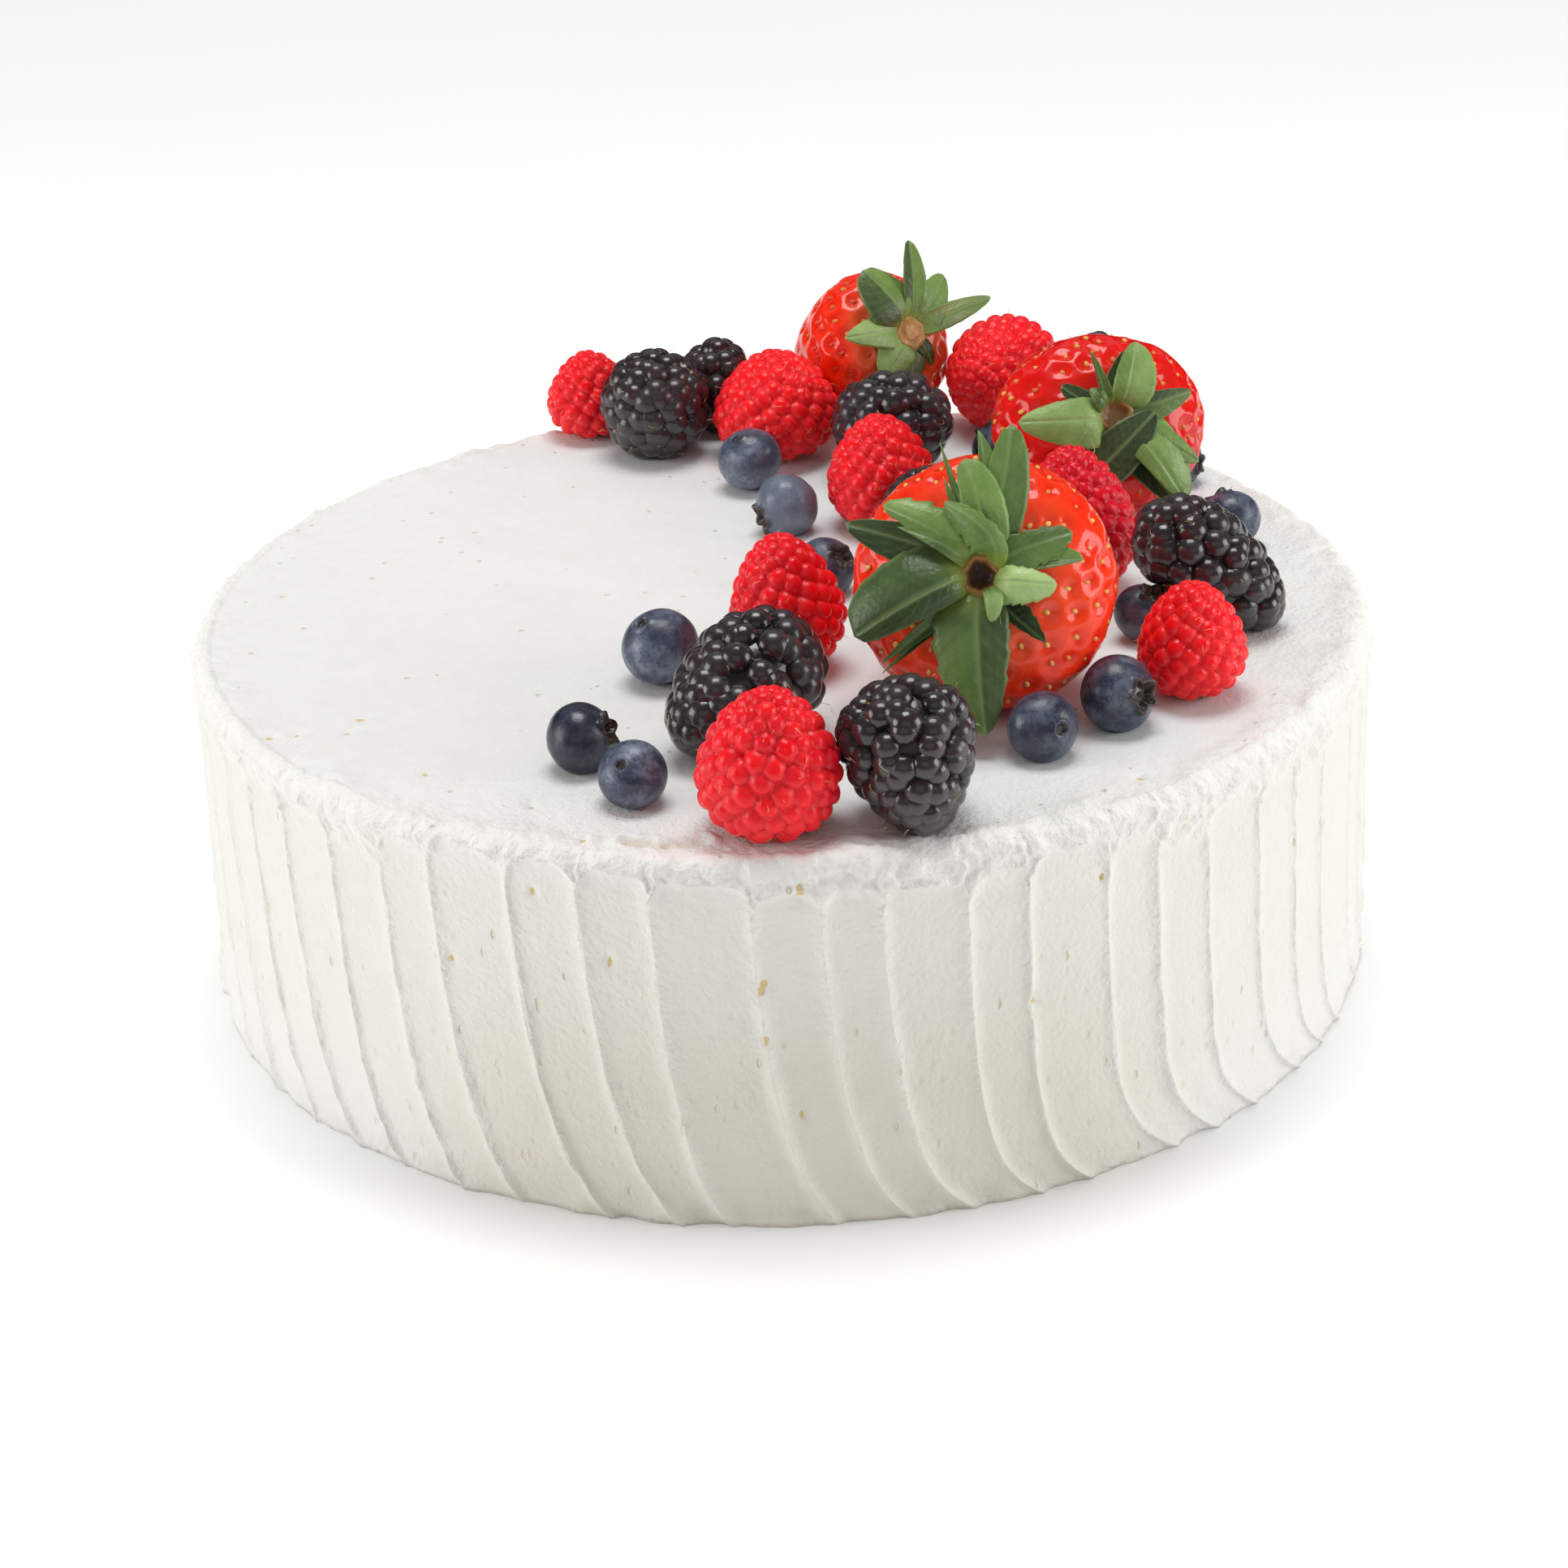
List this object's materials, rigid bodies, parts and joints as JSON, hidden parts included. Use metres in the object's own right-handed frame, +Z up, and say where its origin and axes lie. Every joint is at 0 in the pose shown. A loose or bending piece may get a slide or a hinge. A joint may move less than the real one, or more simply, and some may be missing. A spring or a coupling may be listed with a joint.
{
  "type": "berry chantilly cake",
  "caption": "Round cake frosted in white whipped cream, the side combed in upright spatula strokes, the top dressed with a crescent of strawberries, raspberries, brambles and blueberries.",
  "frame": {"origin": "middle of the cake's flat base", "axes": "+Z up, the berry crescent mostly towards +X, and the side that the picture looks at towards -Y"},
  "size_m": [0.22, 0.2275, 0.1232],
  "materials": {
    "cream": "soft matt whipped cream",
    "strawberry": "glossy, with pale seeds in dimples",
    "leaf": "satin leaf with paler veins",
    "raspberry": "satin, translucent drupelets",
    "bramble": "glossy, near-black drupelets",
    "blueberry": "satin skin under a pale bloom"
  },
  "bodies": {
    "root": {"frosted_cake": "cream", "raspberry_front": "raspberry", "raspberry_inner": "raspberry", "raspberry_middle": "raspberry", "raspberry_back": "raspberry", "raspberry_back_left": "raspberry", "raspberry_back_right": "raspberry", "raspberry_tall": "raspberry", "raspberry_right": "raspberry", "bramble_front": "bramble", "bramble_left": "bramble", "bramble_right": "bramble", "bramble_back": "bramble", "bramble_back_left": "bramble", "bramble_rim": "bramble", "bramble_far": "bramble", "bramble_hidden": "bramble", "blueberry_left_outer": "blueberry", "blueberry_left_front": "blueberry", "blueberry_left_inner": "blueberry", "blueberry_back_inner": "blueberry", "blueberry_middle": "blueberry", "blueberry_inner": "blueberry", "blueberry_front": "blueberry", "blueberry_front_right": "blueberry", "blueberry_right_inner": "blueberry", "blueberry_right": "blueberry", "blueberry_back": "blueberry", "blueberry_back_right": "blueberry", "strawberry_front": "strawberry", "strawberry_right": "strawberry", "strawberry_back": "strawberry", "strawberry_front_calyx": "leaf", "strawberry_right_calyx": "leaf", "strawberry_back_calyx": "leaf"}
  },
  "joints": []
}
